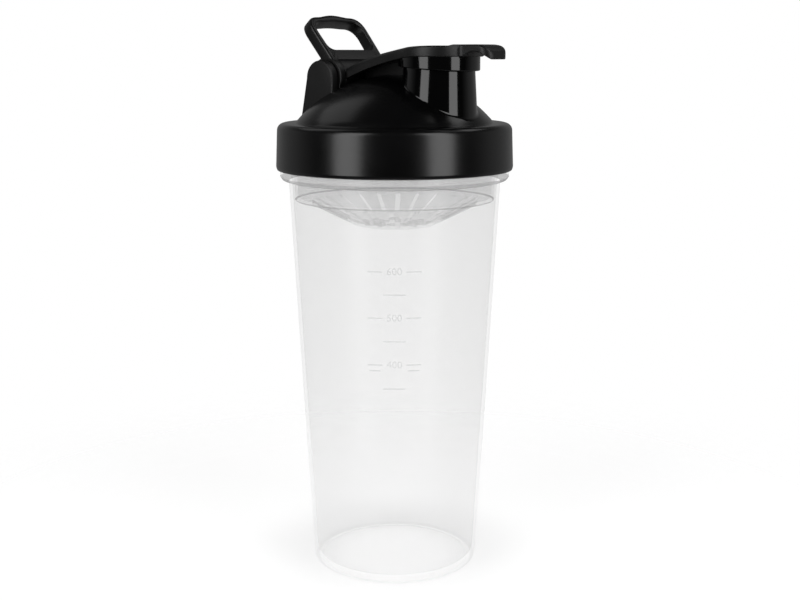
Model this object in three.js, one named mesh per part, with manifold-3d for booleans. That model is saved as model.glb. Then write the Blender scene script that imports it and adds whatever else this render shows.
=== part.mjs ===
// Protein shaker bottle: a tapered cup, a strainer insert, a screw lid with a spout, a flip cap
// and a carry loop on one hinge pin. Millimetres, +Z up. The origin is the centre of the foot
// ring's plane, and +X runs from the hinge towards the spout.
import * as THREE from 'three';
import { mergeVertices } from 'three/addons/utils/BufferGeometryUtils.js';
import Module from 'manifold-3d';

const wasm = await Module();
wasm.setup();

// ---- driving dimensions ----
const GAP = 0.3;                  // clearance left wherever two pieces meet
const CUP_SIDES = 60;             // facets round the cup and the lid
const SMALL_SIDES = 40;           // facets round the spout and the cap's skirt

const CUP = {
  footRadius: 35.6, topRadius: 44.4, shoulderZ: 166.6, wall: 1.4, floor: 2.6,
  cornerRadius: 2.2, recessRadius: 31.5, recessDepth: 0.8,
  beadRadius: 48.0, beadTopZ: 170.9,
  neckRadius: 45.2, rimZ: 184.4,
};
const THREAD = {
  lead: 6, turns: 1.25, halfHeight: 0.95, stepsPerTurn: 30, bury: 0.5,
  neckCrest: 46.25, neckStartZ: 174.6, lidCrest: 46.85, lidDrop: 2.4,
};
const STRAINER = {
  sides: 48, flangeRadius: 46.2, flangeThickness: 1.2, skirtTopRadius: 42.5, skirtRadius: 41.9, wall: 1.2,
  ledgeZ: 158.3, coneRadius: 38.0, bottomZ: 147.8, bottomRadius: 17.0, knobRadius: 2.4, knobHeight: 1.6,
  coneSlots: 24, floorSlots: 12, floorSlotStart: 5.5, slotWidth: 2.2,
};
const GASKET = { sides: 48, innerRadius: 41.6, outerRadius: 46.0, thickness: 1.5, chamfer: 0.3 };
const LID = {
  edgeZ: 171.2, edgeRadius: 49.2, beltRadius: 49.6, beltZ: 172.4, crownRadius: 48.9, crownZ: 187.6,
  shoulderRadius: 46.5, valleyRadius: 41.0, valleyZ: 190.5,
  mouthRadius: 47.6, socketRadius: 47.3, landZ: 188.0,
};
// the dome is part of a sphere that rises from the collar's valley
const DOME = { topZ: 209.9, sphereRadius: 54, edgeRadius: 40.4, innerEdgeRadius: 37.8, wall: 2.0 };
const SPOUT = {
  x: 23.5, footRadius: 15.8, footZ: 190, topRadius: 14.3, topZ: 216.2, boreRadius: 12.4,
};
const HINGE = { x: -23.4, z: 208.7, pinRadius: 2.0, boreRadius: 2.3 };
const HINGE_REACH = 20;            // how far a cut along the hinge axis runs to each side
const EAR = { inner: 17.0, outer: 20.8, radius: 7.25, rootBackX: -34.6, rootZ: 189.2, socketEnd: 19.2 };
// the pocket in the dome that the loop's lugs and the cap's barrel turn in
const POCKET = { radius: 9.2, wall: 1.8 };
const CAP = {
  halfWidth: 13.1, discRadius: 17.0, barrelRadius: 8.25, undersideZ: 217.5,
  skirtOuter: 16.5, skirtInner: 14.9, skirtZ: 212.9, skirtTilt: 3.8,
  tabHalfWidth: 7.0, tabCorner: 4.5, tipX: 52.0, sideWall: 1.6, web: 1.8, ribHalfWidth: 1.2,
};
// the cap's side view, as [x, z]: its top and underside are curves from start through control to end
const ARM_TOP = { start: [-17.5, 212.2], control: [5, 222.3], end: [36, 221.8] };
const ARM_UNDER = { start: [24, 217.5], control: [4, 216.4], end: [-16.2, 208.0] };
const ARM_RIB = [[-17, 208.3], [0, 210.8], [8, 212.6], [8, 217], [0, 216], [-17, 210.5]];
const ARM_CHANNEL = { back: -15, front: 6 };
const PIN = { near: -19.0, far: 20.6, sides: 24 };
const SEAL = { padRadius: 14.2, padThickness: 0.7, plugRadius: 11.6, plugTipRadius: 11.2, plugZ: 213.9 };
const LOOP = {
  lean: 40, front: 7.9, thickness: 5.5, halfWidth: 16.6, flare: 0.02, legWidth: 2.4,
  topV: 26.7, windowTopV: 24.0, windowFloorV: 8.85, outerCorner: 7.2, innerCorner: 5.8,
  lugRadius: 8.5, lugInner: 13.4, barClearRadius: 8.6,
};

// ---- helpers ----
const radians = (degrees) => degrees * Math.PI / 180;

// A closed manifold solid from a three.js geometry: welded, with no empty triangles, facing out.
function toSolid(geometry) {
  const bare = geometry.clone();
  bare.deleteAttribute('normal');
  bare.deleteAttribute('uv');
  const welded = mergeVertices(bare, 1e-4);
  const position = welded.attributes.position;
  const corners = welded.index.array;
  const triangles = [];
  let volume = 0;
  for (let i = 0; i < corners.length; i += 3) {
    const [a, b, c] = [corners[i], corners[i + 1], corners[i + 2]];
    if (a === b || b === c || c === a) continue;
    triangles.push(a, b, c);
    const [p, q, r] = [a, b, c].map((k) => new THREE.Vector3().fromBufferAttribute(position, k));
    volume += p.dot(q.cross(r));
  }
  if (volume < 0) {
    triangles.reverse();
  }
  const mesh = new wasm.Mesh({
    numProp: 3,
    vertProperties: new Float32Array(position.array),
    triVerts: new Uint32Array(triangles),
  });
  return new wasm.Manifold(mesh);
}

function toGeometry(solid) {
  const mesh = solid.getMesh();
  const geometry = new THREE.BufferGeometry();
  geometry.setAttribute('position', new THREE.BufferAttribute(mesh.vertProperties, 3));
  geometry.setIndex(new THREE.BufferAttribute(mesh.triVerts, 1));
  geometry.computeVertexNormals();
  return geometry;
}

const join = (solids) => solids.reduce((whole, piece) => whole.add(piece));

// A body of revolution about Z from [radius, height] points. A profile that doesn't start and
// end on the axis is closed on itself.
function revolve(points, sides) {
  const profile = points.map(([radius, height]) => new THREE.Vector2(radius, height));
  if (points[0][0] > 0) profile.push(profile[0].clone());
  return toSolid(new THREE.LatheGeometry(profile, sides).rotateX(Math.PI / 2));
}

// A prism standing on z = low, from a shape drawn in X and Y.
function standingPrism(shape, low, high, curveSegments = 12) {
  const options = { depth: high - low, bevelEnabled: false, curveSegments };
  return toSolid(new THREE.ExtrudeGeometry(shape, options).translate(0, 0, low));
}

// A prism lying along Y from y = near to y = far, from a shape drawn in X and Z.
function lyingPrism(shape, near, far, curveSegments = 12) {
  const options = { depth: far - near, bevelEnabled: false, curveSegments };
  return toSolid(new THREE.ExtrudeGeometry(shape, options).rotateX(Math.PI / 2).translate(0, far, 0));
}

// A cylinder along Y, centred on the hinge axis.
function hingeCylinder(radius, near, far, sides = 32) {
  const geometry = new THREE.CylinderGeometry(radius, radius, far - near, sides);
  return toSolid(geometry.translate(HINGE.x, (near + far) / 2, HINGE.z));
}

function polygon(points) {
  return new THREE.Shape(points.map(([a, b]) => new THREE.Vector2(a, b)));
}

// The points of a quarter-round corner from angle start to angle end, in degrees.
function arc(centreX, centreY, radius, start, end, steps) {
  const points = [];
  for (let i = 0; i <= steps; i++) {
    const angle = radians(start + (end - start) * i / steps);
    points.push([centreX + radius * Math.cos(angle), centreY + radius * Math.sin(angle)]);
  }
  return points;
}

// The dome's outline from an edge radius up to the axis, at a depth below its outer surface.
function domeOutline(edgeRadius, depth) {
  const radius = DOME.sphereRadius - depth;
  const start = Math.acos(edgeRadius / radius) / radians(1);
  return arc(0, DOME.topZ - DOME.sphereRadius, radius, start, 90, 9);
}

// A screw thread: a ridge of trapezoid section that climbs a helix and fades in and out.
// root is the radius that it grows from and crest the radius that it reaches.
function threadRidge(root, crest, startZ) {
  const steps = Math.round(THREAD.turns * THREAD.stepsPerTurn);
  const fadeSteps = 3;
  const positions = [];
  for (let i = 0; i <= steps; i++) {
    const angle = radians(360 * i / THREAD.stepsPerTurn);
    const z = startZ + THREAD.lead * i / THREAD.stepsPerTurn;
    const fade = Math.min(1, (Math.min(i, steps - i) + 0.4) / fadeSteps);
    const tip = root + (crest - root) * fade;
    const half = THREAD.halfHeight;
    const section = [[root, -half], [tip, -half * 0.45], [tip, half * 0.45], [root, half]];
    for (const [radius, rise] of section) {
      positions.push(radius * Math.cos(angle), radius * Math.sin(angle), z + rise);
    }
  }
  const index = [];
  for (let i = 0; i < steps; i++) {
    for (let k = 0; k < 4; k++) {
      const [a, b] = [4 * i + k, 4 * i + (k + 1) % 4];
      index.push(a, b, b + 4, a, b + 4, a + 4);
    }
  }
  const last = 4 * steps;
  index.push(0, 2, 1, 0, 3, 2);
  index.push(last, last + 1, last + 2, last, last + 2, last + 3);
  const geometry = new THREE.BufferGeometry();
  geometry.setAttribute('position', new THREE.Float32BufferAttribute(positions, 3));
  geometry.setIndex(index);
  return toSolid(geometry);
}

const group = new THREE.Group();

function addPiece(name, solid, colour, roughness, look = {}) {
  const material = new THREE.MeshStandardMaterial({ color: colour, roughness, metalness: 0, ...look });
  const mesh = new THREE.Mesh(toGeometry(solid), material);
  mesh.name = name;
  group.add(mesh);
}

// ---- cup ----
function makeCup() {
  const c = CUP;
  const corner = arc(c.footRadius - c.cornerRadius, c.cornerRadius, c.cornerRadius, -90, 0, 4);
  const outside = [
    [0, c.recessDepth],
    [c.recessRadius - 0.8, c.recessDepth],
    [c.recessRadius, 0],
    ...corner,
    [c.topRadius, c.shoulderZ],
    [c.beadRadius - 0.5, c.shoulderZ + 1.8],
    [c.beadRadius, c.shoulderZ + 2.3],
    [c.beadRadius, c.beadTopZ - 0.4],
    [c.beadRadius - 0.4, c.beadTopZ],
    [c.neckRadius, c.beadTopZ],
    [c.neckRadius, c.rimZ - 0.5],
    [c.neckRadius - 0.5, c.rimZ],
  ];
  const innerTop = c.topRadius - c.wall;
  const inside = [
    [c.neckRadius - c.wall - 0.1, c.rimZ],
    [c.neckRadius - c.wall, c.beadTopZ],
    [innerTop, c.shoulderZ - 1],
    [c.footRadius - c.wall, c.floor + 2.4],
    [c.footRadius - c.wall - 0.8, c.floor + 0.8],
    [c.footRadius - c.wall - 2.6, c.floor],
    [0, c.floor],
  ];
  const body = revolve([...outside, ...inside], CUP_SIDES);
  return body.add(threadRidge(c.neckRadius - THREAD.bury, THREAD.neckCrest, THREAD.neckStartZ));
}

// ---- strainer ----
function makeStrainer() {
  const s = STRAINER;
  const flangeZ = CUP.rimZ + GAP;
  const flangeTop = flangeZ + s.flangeThickness;
  const shell = revolve([
    [0, s.bottomZ], [s.bottomRadius, s.bottomZ], [s.coneRadius, s.ledgeZ], [s.skirtRadius, s.ledgeZ],
    [s.skirtTopRadius, flangeZ], [s.flangeRadius, flangeZ], [s.flangeRadius, flangeTop],
    [s.skirtTopRadius - s.wall, flangeTop], [s.skirtRadius - s.wall, s.ledgeZ + s.wall],
    [s.coneRadius - 0.4, s.ledgeZ + s.wall], [s.bottomRadius - 0.4, s.bottomZ + s.wall],
    [s.knobRadius, s.bottomZ + s.wall], [s.knobRadius - 0.4, s.bottomZ + s.wall + s.knobHeight],
    [0, s.bottomZ + s.wall + s.knobHeight],
  ], s.sides);
  const cutHeight = 16;
  const cutters = [];
  const addRing = (count, from, to) => {
    for (let i = 0; i < count; i++) {
      const box = new THREE.BoxGeometry(to - from, s.slotWidth, cutHeight);
      box.translate((from + to) / 2, 0, s.bottomZ + cutHeight / 2 - 2);
      cutters.push(toSolid(box.rotateZ(radians(360 * (i + 0.5) / count))));
    }
  };
  addRing(s.coneSlots, s.bottomRadius + 3.5, s.coneRadius - 3);
  addRing(s.floorSlots, s.floorSlotStart, s.bottomRadius - 2.5);
  return shell.subtract(join(cutters));
}

// ---- lid: collar, dome, spout and hinge ears in one moulding ----
function earShape() {
  const e = EAR;
  const rightX = HINGE.x + e.radius;
  const leftX = HINGE.x - e.radius;
  const points = [[e.rootBackX, e.rootZ], [rightX, e.rootZ], ...arc(HINGE.x, HINGE.z, e.radius, 0, 180, 14)];
  return polygon([...points, [leftX, HINGE.z]]);
}

function spoutTube(radiusTop, radiusFoot, low, high) {
  const geometry = new THREE.CylinderGeometry(radiusTop, radiusFoot, high - low, SMALL_SIDES);
  return toSolid(geometry.rotateX(Math.PI / 2).translate(SPOUT.x, 0, (low + high) / 2));
}

function makeLid() {
  const l = LID;
  const outside = revolve([
    [0, l.edgeZ], [l.edgeRadius, l.edgeZ], [l.beltRadius, l.beltZ], [l.crownRadius, l.crownZ],
    [l.crownRadius - 0.5, l.crownZ + 1.5], [l.shoulderRadius + 0.7, l.valleyZ - 0.4],
    [l.shoulderRadius - 0.6, l.valleyZ], [l.valleyRadius, l.valleyZ],
    ...domeOutline(DOME.edgeRadius, 0),
  ], CUP_SIDES);
  const hollow = revolve([
    [0, l.edgeZ - 5], [l.mouthRadius, l.edgeZ - 5], [l.mouthRadius, l.edgeZ + 0.6],
    [l.socketRadius, l.edgeZ + 1.2], [l.socketRadius - 0.4, l.landZ], [l.valleyRadius - 0.6, l.landZ],
    ...domeOutline(DOME.innerEdgeRadius, DOME.wall),
  ], CUP_SIDES);
  const ears = [-1, 1].map((side) => {
    const [near, far] = side < 0 ? [-EAR.outer, -EAR.inner] : [EAR.inner, EAR.outer];
    return lyingPrism(earShape(), near, far);
  });
  const s = SPOUT;
  const spout = spoutTube(s.topRadius, s.footRadius, s.footZ - 2, s.topZ);
  const bore = spoutTube(s.boreRadius, s.boreRadius, s.footZ - 6, s.topZ + 2);
  const pinBore = hingeCylinder(HINGE.boreRadius, -EAR.socketEnd, EAR.outer + 2);
  const pocketRoom = POCKET.radius + POCKET.wall;
  const pocketShell = hingeCylinder(pocketRoom, -EAR.inner - POCKET.wall, EAR.inner + POCKET.wall);
  const pocket = hingeCylinder(POCKET.radius, -EAR.inner, EAR.inner);
  const threadZ = THREAD.neckStartZ - THREAD.lidDrop;
  const thread = threadRidge(l.socketRadius + 2 * THREAD.bury, THREAD.lidCrest, threadZ);
  const cuts = [hollow.subtract(pocketShell), bore, pocket, pinBore];
  return join([outside, spout, ...ears]).subtract(join(cuts)).add(thread);
}

function makeGasket() {
  const g = GASKET;
  const low = CUP.rimZ + 2 * GAP + STRAINER.flangeThickness;
  const high = low + g.thickness;
  const cut = g.chamfer;
  return revolve([
    [g.innerRadius, low + cut], [g.innerRadius + cut, low], [g.outerRadius - cut, low],
    [g.outerRadius, low + cut], [g.outerRadius, high - cut], [g.outerRadius - cut, high],
    [g.innerRadius + cut, high], [g.innerRadius, high - cut],
  ], g.sides);
}

// ---- flip cap: barrel, arched channel arm, disc with skirt, and thumb tab ----
function capSideShape(offset) {
  const shape = new THREE.Shape();
  const lowered = ([x, z]) => [x, z - offset];
  shape.moveTo(-24, 212.6 - offset);
  shape.lineTo(...lowered(ARM_TOP.start));
  shape.quadraticCurveTo(...lowered(ARM_TOP.control), ...lowered(ARM_TOP.end));
  shape.lineTo(37.2, 222.2);
  shape.lineTo(46.5, 222.2);
  shape.quadraticCurveTo(51.5, 221.8, CAP.tipX, 219.2);
  shape.lineTo(51.7, 217.1);
  shape.lineTo(50.4, 217.3);
  shape.quadraticCurveTo(46.5, 219.4, 41.5, CAP.undersideZ);
  shape.lineTo(...ARM_UNDER.start);
  shape.quadraticCurveTo(...ARM_UNDER.control, ...ARM_UNDER.end);
  shape.lineTo(-24, 205.5);
  return shape;
}

function capPlanShape() {
  const c = CAP;
  const joinAngle = Math.asin(c.halfWidth / c.discRadius);
  const tabAngle = Math.asin(c.tabHalfWidth / c.discRadius);
  const shape = new THREE.Shape();
  shape.moveTo(HINGE.x, -c.halfWidth);
  shape.lineTo(SPOUT.x - c.discRadius * Math.cos(joinAngle), -c.halfWidth);
  shape.absarc(SPOUT.x, 0, c.discRadius, Math.PI + joinAngle, 2 * Math.PI - tabAngle, false);
  const corner = c.tabCorner;
  shape.absarc(c.tipX - corner, -c.tabHalfWidth + corner, corner, -Math.PI / 2, 0, false);
  shape.absarc(c.tipX - corner, c.tabHalfWidth - corner, corner, 0, Math.PI / 2, false);
  shape.absarc(SPOUT.x, 0, c.discRadius, tabAngle, Math.PI - joinAngle, false);
  shape.lineTo(HINGE.x, c.halfWidth);
  return shape;
}

function makeFlipCap() {
  const c = CAP;
  const beyond = HINGE_REACH;
  const side = lyingPrism(capSideShape(0), -beyond, beyond, 16);
  const plan = standingPrism(capPlanShape(), 200, 226, 14);
  const innerHalf = c.halfWidth - c.sideWall;
  const channelSide = lyingPrism(capSideShape(c.web), -innerHalf, innerHalf, 16);
  const { back, front } = ARM_CHANNEL;
  const channelBox = new THREE.BoxGeometry(front - back, 2 * beyond, 40);
  const channelPlan = toSolid(channelBox.translate((front + back) / 2, 0, 205));
  const barrel = hingeCylinder(c.barrelRadius, -c.halfWidth, c.halfWidth);
  const skirt = spoutTube(c.skirtOuter, c.skirtOuter, c.skirtZ - 3, c.undersideZ + 1);
  const skirtBore = spoutTube(c.skirtInner, c.skirtInner, c.skirtZ - 6, c.undersideZ);
  const trim = new THREE.BoxGeometry(60, 60, 20).translate(0, 0, -10);
  trim.rotateY(radians(c.skirtTilt)).translate(SPOUT.x, 0, c.skirtZ);
  const hollow = channelSide.intersect(channelPlan);
  const rib = lyingPrism(polygon(ARM_RIB), -c.ribHalfWidth, c.ribHalfWidth);
  const trimmedSkirt = skirt.subtract(toSolid(trim));
  const body = side.intersect(plan).subtract(hollow);
  const pinBore = hingeCylinder(HINGE.boreRadius, -beyond, beyond);
  return join([body, rib, barrel, trimmedSkirt]).subtract(skirtBore).subtract(pinBore);
}

function makeSpoutSeal() {
  const s = SEAL;
  const padTop = CAP.undersideZ - GAP;
  const padLow = padTop - s.padThickness;
  const seal = revolve([
    [0, s.plugZ], [s.plugTipRadius, s.plugZ], [s.plugRadius, padLow], [s.padRadius, padLow],
    [s.padRadius, padTop], [0, padTop],
  ], SMALL_SIDES);
  return seal.translate([SPOUT.x, 0, 0]);
}

// ---- carry loop: drawn flat with u across and v up, then leaned back about the hinge ----
function loopOutline(inset, low, high, corner, lowerCorner) {
  const half = (v) => LOOP.halfWidth - inset + LOOP.flare * (v - LOOP.windowFloorV);
  const shape = new THREE.Shape();
  shape.moveTo(-half(low + lowerCorner), low + lowerCorner);
  shape.quadraticCurveTo(-half(low), low, -half(low) + lowerCorner, low);
  shape.lineTo(half(low) - lowerCorner, low);
  shape.quadraticCurveTo(half(low), low, half(low + lowerCorner), low + lowerCorner);
  shape.lineTo(half(high - corner), high - corner);
  shape.quadraticCurveTo(half(high), high, half(high) - corner, high);
  shape.lineTo(-half(high) + corner, high);
  shape.quadraticCurveTo(-half(high), high, -half(high - corner), high - corner);
  return shape;
}

// Turns a slab drawn in u (X) and v (Y), with its depth forward, into the leaning loop's place.
function leanBack(geometry) {
  geometry.rotateX(Math.PI / 2).rotateZ(Math.PI / 2);
  geometry.rotateY(-radians(LOOP.lean));
  return toSolid(geometry.translate(HINGE.x, 0, HINGE.z));
}

function makeCarryLoop() {
  const l = LOOP;
  const slab = (shape, back, depth) => {
    const options = { depth, bevelEnabled: false, curveSegments: 10 };
    return leanBack(new THREE.ExtrudeGeometry(shape, options).translate(0, 0, back));
  };
  const back = l.front - l.thickness;
  const frame = slab(loopOutline(0, 0, l.topV, l.outerCorner, 0.5), back, l.thickness);
  const windowShape = loopOutline(l.legWidth, l.windowFloorV, l.windowTopV, l.innerCorner, 4);
  const window = slab(windowShape, back - 5, 20);
  const clear = hingeCylinder(l.barClearRadius, -l.lugInner, l.lugInner, 40);
  const lugs = [-1, 1].map((side) => {
    const ends = [side * l.lugInner, side * l.halfWidth].sort((a, b) => a - b);
    return hingeCylinder(l.lugRadius, ...ends);
  });
  const pinBore = hingeCylinder(HINGE.boreRadius, -HINGE_REACH, HINGE_REACH);
  return join([frame.subtract(window).subtract(clear), ...lugs]).subtract(pinBore);
}

addPiece('cup', makeCup(), 0xe9edee, 0.35, { transparent: true, opacity: 0.35 });
addPiece('strainer', makeStrainer(), 0xdfe3e4, 0.4, { transparent: true, opacity: 0.5 });
addPiece('lid_gasket', makeGasket(), 0xf2f2f0, 0.6);
addPiece('lid', makeLid(), 0x141416, 0.45);
addPiece('flip_cap', makeFlipCap(), 0x121214, 0.3);
addPiece('spout_seal', makeSpoutSeal(), 0xe6e6e2, 0.6);
const pin = hingeCylinder(HINGE.pinRadius, PIN.near, PIN.far, PIN.sides);
addPiece('hinge_pin', pin, 0xb8bbc0, 0.3, { metalness: 0.9 });
addPiece('carry_loop', makeCarryLoop(), 0x141416, 0.35);

export default group;
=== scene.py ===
"""The looks of a protein shaker bottle: a translucent cup and strainer under a black screw lid
with a glossy spout, a flip cap and a carry loop. Lengths are millimetres until a mesh is made; the
camera, the floor and the lights are in metres."""
import math

import bmesh
import bpy
from mathutils import Matrix, Vector


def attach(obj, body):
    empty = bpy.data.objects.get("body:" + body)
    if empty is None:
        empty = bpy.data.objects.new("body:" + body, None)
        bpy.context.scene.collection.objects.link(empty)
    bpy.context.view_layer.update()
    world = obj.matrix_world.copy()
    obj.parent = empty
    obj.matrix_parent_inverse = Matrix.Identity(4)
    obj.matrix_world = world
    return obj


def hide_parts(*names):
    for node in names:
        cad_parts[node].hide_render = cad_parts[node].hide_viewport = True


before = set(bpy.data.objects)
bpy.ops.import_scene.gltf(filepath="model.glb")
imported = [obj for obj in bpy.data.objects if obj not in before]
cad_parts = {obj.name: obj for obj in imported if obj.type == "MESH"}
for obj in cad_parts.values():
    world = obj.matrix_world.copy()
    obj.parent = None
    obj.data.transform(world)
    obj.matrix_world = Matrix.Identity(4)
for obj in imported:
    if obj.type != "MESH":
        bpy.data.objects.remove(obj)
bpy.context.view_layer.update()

MM = 0.001

# ---- driving dimensions in millimetres, mostly as the CAD has them ----
HINGE = Vector((-23.4, 0.0, 208.7))
SPOUT_X = 23.5
AROUND = 200                # facets round the cup and the collar
AROUND_SMALL = 128          # facets round the spout and the skirt
AROUND_HINGE = 96           # facets round the discs on the hinge
CUP = dict(foot=35.6, top=44.4, shoulder_z=166.6, wall=1.4, floor=2.6, bead=48.0, bead_top=170.9,
           neck=45.2, rim_z=184.4, ring=31.6, recess=30.6, recess_z=0.8, groove_z=169.1, groove=0.3,
           floor_edge=31.0)
MARKS = dict(azimuth=-50.0, proud=0.12, line=0.45, thick=0.2, numeral=4.2, aside=7.8, beside=6.0,
             middle=9.0, short=4.5, short_z=93.9)
NUMBERED_MARKS = (("400", 96.3), ("500", 115.7), ("600", 134.5))
PLAIN_MARKS = (86.3, 106.1, 125.2)
STRAINER = dict(flat=17.0, low=147.8, ledge=38.0, ledge_z=158.3, skirt_low=41.9, skirt_top=42.5,
                flange=46.2, flange_z=184.7, wall=1.2, knob=2.0, knob_z=150.6, slot_half=1.1)
SLOT_ROWS = ((24, 20.5, 35.0), (12, 5.5, 14.5))     # how many slots, and the radii they run between
THREAD = dict(lead=6.0, turns=1.25, half=0.95, neck_crest=46.25, lid_crest=46.6, start_z=174.6,
              lid_drop=2.4, socket=47.3)
DOME = dict(top=209.9, radius=54.0, edge=40.4, wall=2.0, inner_edge=38.4, liner_edge=38.0,
            liner_gap=0.6)
COLLAR = dict(edge=49.2, belt=49.6, crown=48.9, low=171.2, valley_z=190.5, valley=41.0, land=188.0)
SPOUT = dict(foot=15.8, foot_z=190.0, top=14.3, top_z=216.2, bore=12.4, fillet=0.8)
EAR = dict(inner=17.0, outer=20.8, radius=7.25, root_x=-34.6, root_z=190.0, socket_end=19.2)
POCKET = dict(radius=9.2, wall=1.8, end=1.5)
CAP = dict(half=13.1, disc=17.0, barrel=8.25, under=217.5, skirt_out=16.5, skirt_in=14.9,
           skirt_z=212.9, tilt=3.8, tab_half=7.0, tab_corner=4.5, tip=53.2, wall=1.6, web=1.8,
           arm_blend=8.0, tab_fillet=1.6, low_round=0.45, arm_round=2.4, disc_round=0.9, rib_half=1.2)
GROOVE = dict(low=220.5, high=223.0, half=0.95)
LOOP = dict(lean=40.0, front=7.9, back=2.4, half=16.6, flare=0.02, leg=2.4, top=26.7, window_top=24.0,
            window_low=8.85, outer_corner=7.2, inner_corner=5.8, lug=8.5, lug_inner=13.4, clear=8.6,
            crown=1.2, outer_round=1.1, inner_round=0.7, groove=0.22)
PIN = dict(radius=2.0, bore=2.3, near=-19.0, far=20.6)
GASKET = dict(inner=41.6, outer=46.0, low=186.2, high=187.7)
SEAL = dict(low=214.4, dimple=9.6, lip=11.7, lip_low=213.9, flange=14.2, flange_z=216.5, top=217.2)
SHARP_ANGLE = 32.0          # a crease sharper than this, in degrees, is shaded as an edge
BEVEL_ANGLE = 60.0
OUTLINE_STEP = 0.55         # about how far apart the points of the cap's outline are


# ---- mesh helpers ----
def make_object(bm, name, material):
    bmesh.ops.recalc_face_normals(bm, faces=bm.faces)
    mesh = bpy.data.meshes.new(name)
    bm.to_mesh(mesh)
    bm.free()
    mesh.materials.append(material)
    piece = bpy.data.objects.new(name, mesh)
    bpy.context.scene.collection.objects.link(piece)
    smooth(piece)
    return piece


def smooth(piece):
    for face in piece.data.polygons:
        face.use_smooth = True
    piece.data.set_sharp_from_angle(angle=math.radians(SHARP_ANGLE))


def apply_modifiers(piece):
    depsgraph = bpy.context.evaluated_depsgraph_get()
    mesh = bpy.data.meshes.new_from_object(piece.evaluated_get(depsgraph))
    piece.modifiers.clear()
    piece.data = mesh


def boolean(piece, tool, operation):
    """Joins tool to piece, or cuts it away, and removes tool."""
    modifier = piece.modifiers.new("boolean", "BOOLEAN")
    modifier.operation = operation
    modifier.object = tool
    modifier.solver = "MANIFOLD"
    modifier.material_mode = "TRANSFER"
    apply_modifiers(piece)
    bpy.data.objects.remove(tool)


def join(piece, *tools):
    for tool in tools:
        boolean(piece, tool, "UNION")
    smooth(piece)
    return piece


def cut(piece, *tools):
    for tool in tools:
        boolean(piece, tool, "DIFFERENCE")
    smooth(piece)
    return piece


def bevel(piece, width, segments):
    modifier = piece.modifiers.new("bevel", "BEVEL")
    modifier.width = width * MM
    modifier.segments = segments
    modifier.limit_method = "ANGLE"
    modifier.angle_limit = math.radians(BEVEL_ANGLE)
    apply_modifiers(piece)
    smooth(piece)
    return piece


def rounded(corners, closed=False):
    """An outline from (a, b) or (a, b, fillet radius) corners, with each filleted corner as an arc."""
    points = []
    count = len(corners)
    for i, corner in enumerate(corners):
        here = Vector(corner[:2])
        fillet = corner[2] if len(corner) > 2 else 0.0
        if fillet == 0.0 or (not closed and i in (0, count - 1)):
            points.append(tuple(here))
            continue
        before = (Vector(corners[i - 1][:2]) - here).normalized()
        after = (Vector(corners[(i + 1) % count][:2]) - here).normalized()
        half = before.angle(after) / 2
        centre = here + (before + after).normalized() * (fillet / math.sin(half))
        start = here + before * (fillet / math.tan(half)) - centre
        turn = math.pi - 2 * half
        if before.cross(after) > 0:
            turn = -turn
        steps = max(2, round(abs(turn) / math.radians(11)))
        for k in range(steps + 1):
            angle = turn * k / steps
            cosine, sine = math.cos(angle), math.sin(angle)
            turned = Vector((start.x * cosine - start.y * sine, start.x * sine + start.y * cosine))
            points.append(tuple(centre + turned))
    return points


def lathe(name, profile, material, sides=AROUND, place=None, shift=None):
    """Turns a profile of (radius, height) about Z. place then moves the points, in millimetres, and
    shift raises a point by a function of where it is."""
    bm = bmesh.new()
    place = place or Matrix.Identity(4)
    rings = []
    for radius, height in profile:
        ring = []
        for i in range(sides if radius > 1e-6 else 1):
            angle = 2 * math.pi * i / sides
            point = place @ Vector((radius * math.cos(angle), radius * math.sin(angle), height))
            if shift:
                point.z += shift(point)
            ring.append(bm.verts.new(point * MM))
        rings.append(ring)
    follow = rings[1:] + ([] if len(rings[0]) == 1 else rings[:1])
    for low, high in zip(rings, follow):
        bridge(bm, low, high)
    return make_object(bm, name, material)


def bridge(bm, low, high):
    """Faces between two rings of vertices. A ring of one vertex is a pole, and two poles join nothing."""
    count = max(len(low), len(high))
    if count == 1:
        return
    for i in range(count):
        j = (i + 1) % count
        if len(low) == 1:
            bm.faces.new((low[0], high[j], high[i]))
        elif len(high) == 1:
            bm.faces.new((low[i], low[j], high[0]))
        else:
            bm.faces.new((low[i], low[j], high[j], high[i]))


ABOUT_SPOUT = Matrix.Translation((SPOUT_X, 0, 0))
ABOUT_HINGE = Matrix.Translation(HINGE) @ Matrix.Rotation(-math.pi / 2, 4, "X")


def hinge_disc(name, radius, near, far, material, fillet):
    """A disc on the hinge axis from y = near to y = far, with its edges rounded by fillet."""
    profile = rounded([(0, near), (radius, near, fillet), (radius, far, fillet), (0, far)])
    return lathe(name, profile, material, AROUND_HINGE, ABOUT_HINGE)


def prism(name, outline, near, far, material):
    """A prism along Y from an outline in X and Z."""
    bm = bmesh.new()
    rings = [[bm.verts.new(Vector((x, y, z)) * MM) for x, z in outline] for y in (near, far)]
    bridge(bm, *rings)
    bm.faces.new(rings[0])
    bm.faces.new(rings[1])
    return make_object(bm, name, material)


def block(name, low, high, material, turn=0.0):
    """A box between two corners, turned about Z by an angle in degrees."""
    bm = bmesh.new()
    bmesh.ops.create_cube(bm, size=1.0)
    low, high = Vector(low), Vector(high)
    for vertex in bm.verts:
        part = vertex.co + Vector((0.5, 0.5, 0.5))
        vertex.co = Vector(low[i] + (high[i] - low[i]) * part[i] for i in range(3)) * MM
    bmesh.ops.rotate(bm, verts=bm.verts, matrix=Matrix.Rotation(math.radians(turn), 3, "Z"))
    return make_object(bm, name, material)


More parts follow.
